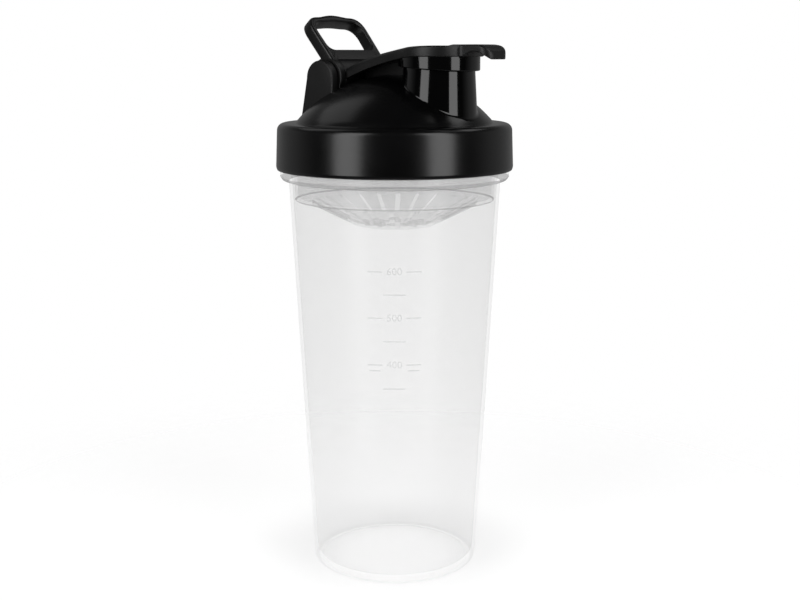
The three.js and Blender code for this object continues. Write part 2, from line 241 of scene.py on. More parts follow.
def thread_ridge(name, root, crest, start_z, material):
    """A screw thread of trapezoid section that fades in and out."""
    per_turn = 72
    steps = round(THREAD["turns"] * per_turn)
    fade_steps = 8
    half = THREAD["half"]
    bm = bmesh.new()
    rings = []
    for i in range(steps + 1):
        angle = 2 * math.pi * i / per_turn
        z = start_z + THREAD["lead"] * i / per_turn
        tip = root + (crest - root) * min(1.0, (min(i, steps - i) + 0.5) / fade_steps)
        section = [(root, -half), (tip, -0.45 * half), (tip, 0.45 * half), (root, half)]
        ring = [bm.verts.new(Vector((r * math.cos(angle), r * math.sin(angle), z + rise)) * MM)
                for r, rise in section]
        rings.append(ring)
    for low, high in zip(rings, rings[1:]):
        bridge(bm, low, high)
    bm.faces.new(rings[0])
    bm.faces.new(rings[-1])
    return make_object(bm, name, material)


def bezier(start, control, end, t):
    return tuple(a * (1 - t) ** 2 + 2 * b * t * (1 - t) + c * t * t
                 for a, b, c in zip(start, control, end))


def bezier_height(start, control, end, x):
    """The height of a quadratic curve at x. Its control point mustn't be midway between its ends in x."""
    a = start[0] - 2 * control[0] + end[0]
    b = 2 * (control[0] - start[0])
    c = start[0] - x
    t = (-b + math.sqrt(max(0.0, b * b - 4 * a * c))) / (2 * a)
    return bezier(start, control, end, min(1.0, max(0.0, t)))[1]


# ---- materials ----
PLASTIC_IOR = 1.49


def new_material(name):
    material = bpy.data.materials.new(name)
    material.use_nodes = True
    shader = material.node_tree.nodes["Principled BSDF"]
    return material, material.node_tree, shader


def noise_at(tree, scale, detail=3.0):
    """Noise in the object's own place, with its scale in features per metre."""
    coordinates = tree.nodes.new("ShaderNodeTexCoord")
    noise = tree.nodes.new("ShaderNodeTexNoise")
    noise.inputs["Scale"].default_value = scale
    noise.inputs["Detail"].default_value = detail
    tree.links.new(coordinates.outputs["Object"], noise.inputs["Vector"])
    return noise.outputs["Fac"]


def map_range(tree, value, source, target, interpolation="LINEAR"):
    """Maps the source range of a value to the target range, and holds it at the ends."""
    node = tree.nodes.new("ShaderNodeMapRange")
    node.interpolation_type = interpolation
    for side, amount in zip(("From Min", "From Max", "To Min", "To Max"), (*source, *target)):
        node.inputs[side].default_value = amount
    tree.links.new(value, node.inputs["Value"])
    return node.outputs["Result"]


def spread(tree, noise, low, high):
    """Maps noise, which stays near its middle, to low to high."""
    return map_range(tree, noise, (0.3, 0.7), (low, high))


def mix_shaders(tree, share, first, second):
    """Goes from the first shader to the second as share goes from 0 to 1."""
    mix = tree.nodes.new("ShaderNodeMixShader")
    for value, socket in zip((share, first, second), mix.inputs):
        tree.links.new(value, socket)
    return mix.outputs["Shader"]


def set_surface(tree, shader_output):
    tree.links.new(shader_output, tree.nodes["Material Output"].inputs["Surface"])


def add_bump(tree, shader, value, strength, distance):
    bump = tree.nodes.new("ShaderNodeBump")
    bump.inputs["Strength"].default_value = strength
    bump.inputs["Distance"].default_value = distance * MM
    tree.links.new(value, bump.inputs["Height"])
    tree.links.new(bump.outputs["Normal"], shader.inputs["Normal"])


def tinted(tree, value, dark, light):
    ramp = tree.nodes.new("ShaderNodeValToRGB")
    ramp.color_ramp.elements[0].position = 0.3
    ramp.color_ramp.elements[0].color = (*dark, 1)
    ramp.color_ramp.elements[1].position = 0.7
    ramp.color_ramp.elements[1].color = (*light, 1)
    tree.links.new(value, ramp.inputs["Fac"])
    return ramp.outputs["Color"]


def moulded(name, dark, light, rough, grain, strength):
    """Moulded opaque plastic: slight colour and gloss variation over a fine surface grain."""
    material, tree, shader = new_material(name)
    wide = noise_at(tree, 45.0)
    fine = noise_at(tree, grain, 2.0)
    tree.links.new(tinted(tree, wide, dark, light), shader.inputs["Base Color"])
    tree.links.new(spread(tree, wide, *rough), shader.inputs["Roughness"])
    add_bump(tree, shader, fine, strength, 0.05)
    shader.inputs["IOR"].default_value = PLASTIC_IOR
    return material


def translucent(name, colour, haze, edge_haze, gloss):
    """Hazy plastic: part of the light goes straight through, part is scattered at the surface, and a
    glossy share that grows towards the edges is reflected."""
    material, tree, shader = new_material(name)
    cloud = noise_at(tree, 30.0)
    tint = tinted(tree, cloud, (0.97 * colour,) * 3, (colour,) * 3)
    tree.links.new(tint, shader.inputs["Base Color"])
    tree.links.new(spread(tree, cloud, 0.30, 0.36), shader.inputs["Roughness"])
    add_bump(tree, shader, noise_at(tree, 900.0, 2.0), 0.06, 0.05)
    shader.inputs["IOR"].default_value = PLASTIC_IOR
    clear = tree.nodes.new("ShaderNodeBsdfTransparent")
    clear.inputs["Color"].default_value = (0.985, 0.985, 0.985, 1)
    mirror = tree.nodes.new("ShaderNodeBsdfGlossy")
    mirror.inputs["Roughness"].default_value = 0.24
    weight = tree.nodes.new("ShaderNodeLayerWeight")
    weight.inputs["Blend"].default_value = 0.25
    facing = weight.outputs["Facing"]
    scattered_share = map_range(tree, facing, (0, 1), (haze, edge_haze))
    scattered = mix_shaders(tree, scattered_share, clear.outputs["BSDF"], shader.outputs["BSDF"])
    mirror_share = map_range(tree, facing, (0.6, 1), (gloss, 5 * gloss))
    set_surface(tree, mix_shaders(tree, mirror_share, scattered, mirror.outputs["BSDF"]))
    return material


def brushed_steel(name):
    material, tree, shader = new_material(name)
    grain = noise_at(tree, 1500.0, 2.0)
    shader.inputs["Metallic"].default_value = 1.0
    tree.links.new(tinted(tree, grain, (0.5, 0.5, 0.51), (0.66, 0.66, 0.67)), shader.inputs["Base Color"])
    tree.links.new(spread(tree, grain, 0.22, 0.36), shader.inputs["Roughness"])
    add_bump(tree, shader, grain, 0.1, 0.02)
    return material


DEEP_BLACK = (0.0015, 0.0015, 0.0016)
SOFT_BLACK = (0.0025, 0.0025, 0.0027)
SATIN_BLACK = moulded("lid_satin", DEEP_BLACK, SOFT_BLACK, (0.22, 0.27), 2600.0, 0.10)
GLOSS_BLACK = moulded("cap_gloss", (0.0012, 0.0012, 0.0013), (0.002, 0.002, 0.0021), (0.07, 0.11),
                      700.0, 0.02)
CAP_SATIN = moulded("cap_satin", DEEP_BLACK, SOFT_BLACK, (0.40, 0.47), 2400.0, 0.06)
LOOP_BLACK = moulded("loop_satin", DEEP_BLACK, SOFT_BLACK, (0.34, 0.40), 2400.0, 0.08)
SILICONE = moulded("seal_silicone", (0.70, 0.70, 0.68), (0.78, 0.78, 0.76), (0.5, 0.62), 1400.0, 0.05)
CUP_PLASTIC = translucent("cup_hazy", colour=0.93, haze=0.080, edge_haze=0.10, gloss=0.006)
# painted shade: this darker hazy plastic goes under the cup's bead and into the strainer's lower corners
PAINTED_SHADE_PLASTIC = translucent("painted_shade_hazy", colour=0.35, haze=0.40, edge_haze=0.55, gloss=0.01)
STRAINER_PLASTIC = translucent("strainer_hazy", colour=0.90, haze=0.13, edge_haze=0.035, gloss=0.012)
# the graduations' own tone, also used for a painted contact shadow along the cup's foot
MARK_AND_FOOT_SHADE_PLASTIC = translucent("mark_and_foot_shade_hazy", colour=0.70, haze=0.10, edge_haze=0.16, gloss=0.006)
STEEL = brushed_steel("pin_steel")


# ---- the camera ----
CAMERA = dict(place=(0.3379, -0.3992, 0.2190), tilt=11.26, turn=40.0, lens=55.86, sensor=36.0)


def add_camera():
    data = bpy.data.cameras.new("camera")
    data.sensor_width = CAMERA["sensor"]
    data.lens = CAMERA["lens"]
    data.clip_start = 0.01
    camera = bpy.data.objects.new("camera", data)
    camera.location = CAMERA["place"]
    camera.rotation_euler = (math.radians(90 - CAMERA["tilt"]), 0, math.radians(CAMERA["turn"]))
    bpy.context.scene.collection.objects.link(camera)
    bpy.context.scene.camera = camera


# ---- cup ----
def make_cup():
    foot, top, wall, shoulder_z = CUP["foot"], CUP["top"], CUP["wall"], CUP["shoulder_z"]
    bead, bead_top, neck, rim_z = CUP["bead"], CUP["bead_top"], CUP["neck"], CUP["rim_z"]
    recess_z, groove_z = CUP["recess_z"], CUP["groove_z"]
    outside = [
        (0, recess_z), (CUP["recess"], recess_z, 0.4), (CUP["ring"], 0, 0.3), (foot, 0, 2.2),
        (top, shoulder_z, 0.5), (bead - 1.0, shoulder_z + 0.6, 0.5), (bead, shoulder_z + 1.9, 0.5),
        (bead, groove_z - 0.2, 0.1), (bead - CUP["groove"], groove_z, 0.1), (bead, groove_z + 0.2, 0.1),
        (bead, bead_top, 0.5), (neck, bead_top, 0.4), (neck, rim_z, 0.6),
    ]
    inside = [
        (neck - wall, rim_z, 0.5), (neck - wall, bead_top, 3), (top - wall, shoulder_z - 1, 3),
        (foot - wall, 4.0, 2.4), (CUP["floor_edge"], CUP["floor"], 3.0), (0, CUP["floor"]),
    ]
    cup = lathe("cup_body", rounded(outside + inside), CUP_PLASTIC)
    ridge = thread_ridge("ridge", neck - 0.4, THREAD["neck_crest"], THREAD["start_z"], CUP_PLASTIC)
    join(cup, ridge)
    # painted shade: a darker plastic under the bead stands in for the shade there
    paint_where(cup, PAINTED_SHADE_PLASTIC, bead_underside_shade)
    # painted contact shadow: a darker plastic along the rounding of the foot
    paint_where(cup, MARK_AND_FOOT_SHADE_PLASTIC, foot_contact_shade)
    return cup


def paint_where(piece, material, wanted):
    """Gives a material to the faces whose middle point, in millimetres, and normal are wanted."""
    piece.data.materials.append(material)
    slot = len(piece.data.materials) - 1
    for face in piece.data.polygons:
        if wanted(face.center / MM, face.normal):
            face.material_index = slot


def bead_underside_shade(point, normal):
    """The shoulder under the bead, where a darker material is painted shade for the shadow and dark
    refraction under the overhanging bead.
    """
    outside = math.hypot(point.x, point.y) > CUP["top"] - 0.3
    return outside and normal.z < -0.3 and 0 < point.z - CUP["shoulder_z"] + 0.2 < 2.2


def foot_contact_shade(point, normal):
    """The rounding at the foot, below the wall, painted darker as a thin contact shadow line."""
    return math.hypot(point.x, point.y) > CUP["foot"] - 2.2 and point.z < 0.6 and normal.z < -0.3


def wall_radius(z):
    """The radius of the cup's outer wall at a height."""
    return CUP["foot"] + (CUP["top"] - CUP["foot"]) * z / CUP["shoulder_z"]


def numeral(text):
    """A numeral as a flat mesh, in millimetres."""
    data = bpy.data.curves.new("numeral", "FONT")
    data.body = text
    data.size = MARKS["numeral"]
    data.align_x = "CENTER"
    data.align_y = "CENTER"
    data.extrude = MARKS["thick"] / 2
    data.resolution_u = 3
    letter = bpy.data.objects.new("numeral", data)
    bpy.context.scene.collection.objects.link(letter)
    bpy.context.view_layer.update()
    mesh = bpy.data.meshes.new_from_object(letter.evaluated_get(bpy.context.evaluated_depsgraph_get()))
    bpy.data.objects.remove(letter)
    return mesh


def make_graduations():
    """Raised volume marks and numerals on the front of the cup, drawn flat and wrapped onto its wall."""
    bm = bmesh.new()

    def add_numeral(text, z):
        start = len(bm.verts)
        bm.from_mesh(numeral(text))
        bm.verts.ensure_lookup_table()
        for vertex in bm.verts[start:]:
            vertex.co.y += z

    def add_bar(middle, width, z):
        bar = bmesh.ops.create_cube(bm, size=1.0)["verts"]
        for vertex in bar:
            across, up, deep = vertex.co
            vertex.co = Vector((middle + across * width, z + up * MARKS["line"], deep * MARKS["thick"]))
        edges = dict.fromkeys(edge for vertex in bar for edge in vertex.link_edges)
        lengthwise = [edge for edge in edges if abs(edge.verts[0].co.x - edge.verts[1].co.x) > width / 2]
        bmesh.ops.subdivide_edges(bm, edges=lengthwise, cuts=8)

    for text, z in NUMBERED_MARKS:
        add_numeral(text, z)
        for side in (-1, 1):
            add_bar(side * MARKS["aside"], MARKS["beside"], z)
    for z in PLAIN_MARKS:
        add_bar(0.0, MARKS["middle"], z)
    for side in (-1, 1):
        add_bar(side * MARKS["aside"], MARKS["short"], MARKS["short_z"])
    bmesh.ops.remove_doubles(bm, verts=bm.verts, dist=1e-4)
    for vertex in bm.verts:
        across, z, depth = vertex.co
        radius = wall_radius(z) + MARKS["proud"] + depth
        angle = math.radians(MARKS["azimuth"]) + across / wall_radius(z)
        vertex.co = Vector((radius * math.cos(angle), radius * math.sin(angle), z)) * MM
    return make_object(bm, "graduations", MARK_AND_FOOT_SHADE_PLASTIC)


# ---- strainer ----
def make_strainer():
    low, ledge_z, flange_z, wall = (STRAINER[key] for key in ("low", "ledge_z", "flange_z", "wall"))
    skirt_low, skirt_top, flange = STRAINER["skirt_low"], STRAINER["skirt_top"], STRAINER["flange"]
    flat, ledge, knob, knob_z = (STRAINER[key] for key in ("flat", "ledge", "knob", "knob_z"))
    outside = [
        (0, low), (flat, low, 0.6), (ledge, ledge_z, 0.6), (skirt_low, ledge_z, 0.8),
        (skirt_top, flange_z, 0.5), (flange, flange_z, 0.4), (flange, flange_z + wall, 0.4),
    ]
    inside = [
        (skirt_top - wall, flange_z + wall, 0.5), (skirt_low - wall, ledge_z + wall, 0.8),
        (ledge - 0.4, ledge_z + wall, 0.6), (flat - 0.4, low + wall, 0.6), (knob + 0.6, low + wall, 0.4),
        (knob, knob_z, 0.4), (0, knob_z),
    ]
    body = lathe("strainer_insert", rounded(outside + inside), STRAINER_PLASTIC)
    half = STRAINER["slot_half"]
    for count, start, end in SLOT_ROWS:
        for i in range(count):
            turn = 360 * (i + 0.5) / count
            slot = block("slot", (start, -half, 140), (end, half, 165), STRAINER_PLASTIC, turn)
            boolean(body, slot, "DIFFERENCE")
    smooth(body)
    # painted shade: the strainer's lower corners take the darker plastic as thin lines of shade
    paint_where(body, PAINTED_SHADE_PLASTIC, strainer_corner_shade)
    return body


def strainer_corner_shade(point, normal):
    """The rounded corners under the ledge and round the bottom, painted darker as thin lines of shade."""
    radius = math.hypot(point.x, point.y)
    under_ledge = radius > STRAINER["skirt_low"] - 0.9 and point.z < STRAINER["ledge_z"] + 0.9
    flat = STRAINER["flat"]
    round_bottom = flat - 0.6 < radius < flat + 0.5 and point.z < STRAINER["low"] + 0.35
    return -0.97 < normal.z < -0.15 and (under_ledge or round_bottom)


# ---- lid ----
def dome_height(radius):
    return DOME["top"] - DOME["radius"] + math.sqrt(DOME["radius"] ** 2 - radius ** 2)


def dome_points(edge, count, drop=0.0):
    """Points on the dome from a radius towards its middle, lowered by drop."""
    radii = [edge * (1 - i / count) for i in range(count)]
    return [(r, dome_height(r) - drop) for r in radii]


def spout_radius(z):
    share = (z - SPOUT["foot_z"]) / (SPOUT["top_z"] - SPOUT["foot_z"])
    return SPOUT["foot"] + (SPOUT["top"] - SPOUT["foot"]) * share


def make_spout_fillet():
    """A fillet round the spout's foot, where the cone meets the dome."""
    size, root, sink = SPOUT["fillet"], 0.8, 0.02
    axis = Vector((SPOUT_X, 0))
    bm = bmesh.new()
    rings = []
    for i in range(AROUND_SMALL):
        angle = 2 * math.pi * i / AROUND_SMALL
        out = Vector((math.cos(angle), math.sin(angle)))

        def dome_point(radius):
            spot = axis + out * radius
            return Vector((*spot, dome_height(min(spot.length, DOME["edge"]))))

        z = 200.0
        for _ in range(30):
            z = dome_point(spout_radius(z)).z
        foot = dome_point(spout_radius(z))
        flat_out, down = Vector((*out, 0)), Vector((0, 0, -1))
        high = Vector((*axis, z + size)) + flat_out * (spout_radius(z + size) - sink)
        low = dome_point(spout_radius(z) + size) + down * sink
        curve = [Vector(bezier(high, foot, low, t / 6)) for t in range(7)]
        inside = [low + down * root, foot - flat_out * root + down * root, high - flat_out * root]
        rings.append([bm.verts.new(p * MM) for p in curve + inside])
    for low, high in zip(rings, rings[1:] + rings[:1]):
        bridge(bm, low, high)
    return make_object(bm, "fillet", GLOSS_BLACK)


def ear_outline():
    radius, root_z = EAR["radius"], EAR["root_z"]
    points = [(EAR["root_x"], root_z), (HINGE.x + radius, root_z)]
    for i in range(41):
        angle = math.pi * i / 40
        points.append((HINGE.x + radius * math.cos(angle), HINGE.z + radius * math.sin(angle)))
    return points


def lid_profile():
    """The lid's section, from the skirt's inner edge up over the dome and back down inside."""
    low, valley_z, land, socket = COLLAR["low"], COLLAR["valley_z"], COLLAR["land"], THREAD["socket"]
    collar = rounded([
        (socket, low), (COLLAR["edge"], low, 0.5), (COLLAR["belt"], 172.6, 1.2),
        (COLLAR["crown"], valley_z, 3.0), (COLLAR["valley"] + 0.2, valley_z, 0.8),
        (DOME["edge"], dome_height(DOME["edge"])),
    ])[:-1]
    outer_dome = dome_points(DOME["edge"], 36) + [(0, DOME["top"])]
    wall = DOME["wall"]
    inner_dome = [(r - 1.0, z) for r, z in dome_points(DOME["inner_edge"], 24, wall)]
    socket_side = rounded([
        (37.0, 193.0), (38.6, 189.6, 0.5), (40.4, land, 0.5), (46.9, land, 0.5),
        (socket, land - 2.0, 2.0), (socket, low),
    ])[1:-1]
    return collar + outer_dome + [(0, dome_height(0) - wall)] + inner_dome[::-1] + socket_side


def make_spout():
    foot_z, top, top_z = SPOUT["foot_z"], SPOUT["top"], SPOUT["top_z"]
    cone = rounded([(0, foot_z), (SPOUT["foot"], foot_z), (top, top_z, 0.7), (0, top_z)])
    return lathe("spout", cone, GLOSS_BLACK, AROUND_SMALL, ABOUT_SPOUT)


def make_spout_bore():
    """The spout's bore, as a tool that also chamfers the lip."""
    bore, foot_z, top_z, chamfer = SPOUT["bore"], SPOUT["foot_z"], SPOUT["top_z"], 0.9
    profile = [(0, foot_z), (bore, foot_z), (bore, top_z - chamfer), (bore + chamfer, top_z + 1),
               (0, top_z + 1)]
    return lathe("bore", profile, GLOSS_BLACK, AROUND_SMALL, ABOUT_SPOUT)


def make_pocket_liner():
    """The wall under the hinge's pocket, where the pocket would break through the dome."""
    end = EAR["inner"] + POCKET["end"]
    liner = hinge_disc("liner", POCKET["radius"] + POCKET["wall"], -end, end, SATIN_BLACK, 0)
    gap, edge, base_z = DOME["liner_gap"], DOME["liner_edge"], COLLAR["valley_z"] - 1.0
    under_dome = [(0, base_z), (edge + 0.5, base_z)] + dome_points(edge, 24, gap)
    under_dome.append((0, DOME["top"] - gap))
    boolean(liner, lathe("dome_solid", under_dome, SATIN_BLACK), "INTERSECT")
    return liner


def make_lid():
    inner, outer = EAR["inner"], EAR["outer"]
    shell = lathe("lid_moulding", lid_profile(), SATIN_BLACK)
    join(shell, make_spout(), make_spout_fillet())
    for near, far in ((-outer, -inner), (inner, outer)):
        join(shell, bevel(prism("ear", ear_outline(), near, far, CAP_SATIN), 0.55, 4))
    room = hinge_disc("room", POCKET["radius"], -inner, inner, SATIN_BLACK, 0.3)
    pin_bore = hinge_disc("pin_bore", PIN["bore"], -EAR["socket_end"], outer + 2, SATIN_BLACK, 0)
    ridge = thread_ridge("ridge", THREAD["socket"] + 0.4, THREAD["lid_crest"],
                         THREAD["start_z"] - THREAD["lid_drop"], SATIN_BLACK)
    join(shell, make_pocket_liner())
    cut(shell, make_spout_bore(), room, pin_bore)
    return join(shell, ridge)


# ---- gasket, seal and pin ----
def make_gasket():
    inner, outer, low, high = GASKET["inner"], GASKET["outer"], GASKET["low"], GASKET["high"]
    corners = [(inner, low, 0.5), (outer, low, 0.5), (outer, high, 0.5), (inner, high, 0.5)]
    return lathe("gasket_ring", rounded(corners, closed=True), SILICONE)


def make_spout_seal():
    low, lip, lip_low, flange_z, top = (SEAL[key] for key in ("low", "lip", "lip_low", "flange_z", "top"))
    dimple, flange = SEAL["dimple"], SEAL["flange"]
    profile = rounded([
        (0, low), (dimple, low, 0.4), (dimple + 0.6, lip_low, 0.3), (lip - 0.5, lip_low, 0.5),
        (lip, lip_low + 1.3, 0.4), (lip - 0.1, flange_z, 0.3), (flange, flange_z, 0.3),
        (flange, top, 0.3), (0, top),
    ])
    return lathe("spout_plug", profile, SILICONE, AROUND_SMALL, ABOUT_SPOUT)


def make_pin():
    """The pin, with a small centre mark in its far end."""
    near, far, radius = PIN["near"], PIN["far"], PIN["radius"]
    profile = rounded([(0, near), (radius, near, 0.4), (radius, far, 0.5), (0.9, far, 0.2),
                       (0.6, far - 0.4, 0.2), (0, far - 0.4)])
    return lathe("pin_rod", profile, STEEL, 64, ABOUT_HINGE)


# ---- flip cap ----
ARM_TOP = ((-17.5, 212.2), (5.0, 222.3), (36.0, 221.8))
ARM_UNDER = ((-16.2, 208.0), (4.0, 216.4), (24.0, 217.5))
TAB_TIP = ((46.0, 222.25), (52.0, 221.9), (53.2, 218.6))
TAB_ARCH = ((40.3, 217.5), (46.2, 222.0), (52.4, 216.5))


def cap_top(x):
    """The height of the cap's top at x: arm, disc, then tab."""
    if x < ARM_TOP[0][0]:
        return ARM_TOP[0][1] + 0.06 * (ARM_TOP[0][0] - x)
    disc_x, disc_z = ARM_TOP[2]
    if x < disc_x:
        return bezier_height(*ARM_TOP, x)
    if x < TAB_TIP[0][0]:
        return min(TAB_TIP[0][1], disc_z + 0.4 * (x - disc_x))
    return bezier_height(*TAB_TIP, x)


def cap_under(x):
    """The height of the cap's underside at x."""
    if x < ARM_UNDER[0][0]:
        return ARM_UNDER[0][1] - 0.35 * (ARM_UNDER[0][0] - x)
    if x < ARM_UNDER[2][0]:
        return bezier_height(*ARM_UNDER, x)
    if x < TAB_ARCH[0][0]:
        return CAP["under"]
    return bezier_height(*TAB_ARCH, min(x, TAB_ARCH[2][0]))


def arc_points(centre_x, centre_y, radius, start, end):
    steps = max(3, round(abs(end - start) * radius / OUTLINE_STEP))
    return [(centre_x + radius * math.cos(start + (end - start) * i / steps),
             centre_y + radius * math.sin(start + (end - start) * i / steps)) for i in range(steps + 1)]


def between(start, end, steps):
    """The points that divide a line into steps, without its ends."""
    return [tuple(Vector(start).lerp(Vector(end), i / steps)) for i in range(1, steps)]


def straight(start, end):
    return between(start, end, max(1, round((Vector(end) - Vector(start)).length / OUTLINE_STEP)))


def cap_plan():
    """The cap's outline from above: arm, disc and thumb tab, anticlockwise."""
    half, radius, tab_half, corner = CAP["half"], CAP["disc"], CAP["tab_half"], CAP["tab_corner"]
    tip_x, blend, fillet = CAP["tip"], CAP["arm_blend"], CAP["tab_fillet"]
    join_angle = math.asin(half / radius)
    tab_angle = math.asin(tab_half / radius)
    heel = (HINGE.x, -half)
    arm_corner = (SPOUT_X - radius * math.cos(join_angle), -half)
    arm_end = (arm_corner[0] - blend, -half)
    disc = arc_points(SPOUT_X, 0, radius, math.pi + join_angle, 2 * math.pi - tab_angle - fillet / radius)
    disc = [spot for spot in disc if spot[0] > arm_corner[0] + 0.7 * blend or spot[1] > 0]
    neck = [bezier(arm_end, arm_corner, disc[0], i / 16) for i in range(16)]
    inner_corner = (SPOUT_X + radius * math.cos(tab_angle), -tab_half)
    tab_start = (inner_corner[0] + fillet, -tab_half)
    turn = [bezier(disc[-1], inner_corner, tab_start, i / 6) for i in range(1, 7)]
    tip = arc_points(tip_x - corner, corner - tab_half, corner, -math.pi / 2, 0)
    side = [heel] + straight(heel, arm_end) + neck + disc + turn + straight(tab_start, tip[0]) + tip
    middle = straight(tip[-1], (tip_x, -tip[-1][1]))
    return side + middle + [(x, -y) for x, y in reversed(side)]


def outward_normals(outline):
    """The outward direction at each point of an anticlockwise outline."""
    normals = []
    for i in range(len(outline)):
        before, after = Vector(outline[i - 1]), Vector(outline[(i + 1) % len(outline)])
        along = (after - before).normalized()
        normals.append(Vector((along.y, -along.x)))
    return normals


def top_round(x):
    """The rounding of the cap's top edge: wide along the arm, and tight round the disc."""
    along = min(1.0, max(0.0, (x - 4.0) / 26.0))
    ease = along * along * (3 - 2 * along)
    return CAP["arm_round"] + (CAP["disc_round"] - CAP["arm_round"]) * ease


def cap_slab():
    """The cap's arm, disc and tab: a wall that follows the plan, rounded into the top and underside."""
    plan = cap_plan()
    normals = outward_normals(plan)
    low_round, steps = CAP["low_round"], 5
    spine = (HINGE.x + 2, CAP["tip"] - 6)
    shrinks = (0.05, 0.3, 0.55, 0.8)
    quarter = [math.pi / 2 * i / steps for i in range(steps + 1)]
    bm = bmesh.new()

    def ring(inset, shrink, height):
        """The plan, moved in by inset and drawn towards the spine by shrink, at a height."""
        points = []
        for (x, y), normal in zip(plan, normals):
            px, py = x - normal.x * inset(x), y - normal.y * inset(x)
            axis_x = min(max(px, spine[0]), spine[1])
            points.append(Vector((axis_x + (px - axis_x) * shrink, py * shrink, 0)))
        return [bm.verts.new(Vector((p.x, p.y, height(p.x))) * MM) for p in points]

    rings = [ring(lambda x: low_round, shrink, cap_under) for shrink in shrinks]
    for a in quarter:
        rings.append(ring(lambda x: low_round * (1 - math.sin(a)), 1.0,
                          lambda x: cap_under(x) + low_round * (1 - math.cos(a))))
    for a in quarter:
        rings.append(ring(lambda x: top_round(x) * (1 - math.cos(a)), 1.0,
                          lambda x: cap_top(x) - top_round(x) * (1 - math.sin(a))))
    rings += [ring(top_round, shrink, cap_top) for shrink in reversed(shrinks)]
    for low, high in zip(rings, rings[1:]):
        bridge(bm, low, high)
    for end in (rings[0], rings[-1]):
        for i in range(len(end) // 2):
            corners = list(dict.fromkeys([end[i], end[i + 1], end[-2 - i], end[-1 - i]]))
            if len(corners) > 2:
                bm.faces.new(corners)
    return make_object(bm, "cap_shell", CAP_SATIN)


def make_skirt():
    """The ring under the disc. Its lower edge slopes down towards the tab."""
    inner, outer, low, high = CAP["skirt_in"], CAP["skirt_out"], CAP["skirt_z"], CAP["under"] + 1
    slope = math.tan(math.radians(CAP["tilt"]))
    profile = rounded([(inner, low, 0.4), (outer, low, 0.5), (outer, high), (inner, high)], closed=True)
    return lathe("skirt", profile, GLOSS_BLACK, AROUND_SMALL, ABOUT_SPOUT,
                 lambda p: (SPOUT_X - p.x) * slope if p.z < low + 2 else 0.0)


def make_channel():
    """The hollow under the arm, as a tool."""
    inner_half = CAP["half"] - CAP["wall"]
    below = [(x, cap_under(x) - 4) for x in range(-15, 7, 3)]
    above = [(x, cap_top(x) - CAP["web"]) for x in range(6, -16, -3)]
    return bevel(prism("channel", below + above, -inner_half, inner_half, CAP_SATIN), 0.5, 2)


def make_groove():
    """The notch between disc and tab: a V that follows the disc's edge, as a tool."""
    radius, half, low, high = CAP["disc"], GROOVE["half"], GROOVE["low"], GROOVE["high"]
    profile = [(radius, low), (radius + half, high), (radius - half, high)]
    groove = lathe("groove", profile, CAP_SATIN, AROUND_SMALL, ABOUT_SPOUT)
    keep = block("keep", (SPOUT_X + 12, -12, low - 1.5), (SPOUT_X + 20, 12, high + 1), CAP_SATIN)
    boolean(groove, keep, "INTERSECT")
    return groove


def make_flip_cap():
    cap = cap_slab()
    boolean(cap, make_channel(), "DIFFERENCE")
    rib_line = [(-17, 207.8), (-8, 209.6), (0, 210.05), (7.4, 209.6), (7.9, 217), (0, 216), (-17, 210.5)]
    rib = prism("rib", rib_line, -CAP["rib_half"], CAP["rib_half"], CAP_SATIN)
    barrel = hinge_disc("barrel", CAP["barrel"], -CAP["half"], CAP["half"], CAP_SATIN, 0.5)
    join(cap, rib, barrel, make_skirt())
    return cut(cap, make_groove(), hinge_disc("bore", PIN["bore"], -20, 20, CAP_SATIN, 0))


# ---- carry loop: drawn in u across and v up, then leaned back about the hinge ----
LEAN = Matrix.Translation(HINGE) @ Matrix.Rotation(-math.radians(LOOP["lean"]), 4, "Y")


def loop_outline(inset, low, high, low_corner, high_corner, crown):
    """A closed outline with rounded corners, a top arched by crown, and the same count of points
    whatever its size."""
    def half(v):
        return LOOP["half"] - inset + LOOP["flare"] * (v - LOOP["window_low"])

    across = 16
    low_turn = ((half(low) - low_corner, low), (half(low), low), (half(low), low + low_corner))
    high_turn = ((half(high), high - high_corner), (half(high), high), (half(high) - high_corner, high))
    low_arc, high_arc = ([bezier(*turn, i / 16) for i in range(17)] for turn in (low_turn, high_turn))
    right = low_arc + between(low_turn[2], high_turn[0], 12) + high_arc
    edge = right[-1][0]
    places = [1 - 2 * i / across for i in range(1, across)]
    top = [(edge * place, high + crown * (1 - place ** 2) ** 2) for place in places]
    base = between((-right[0][0], low), right[0], across)
    return right + top + [(-u, v) for u, v in reversed(right)] + base


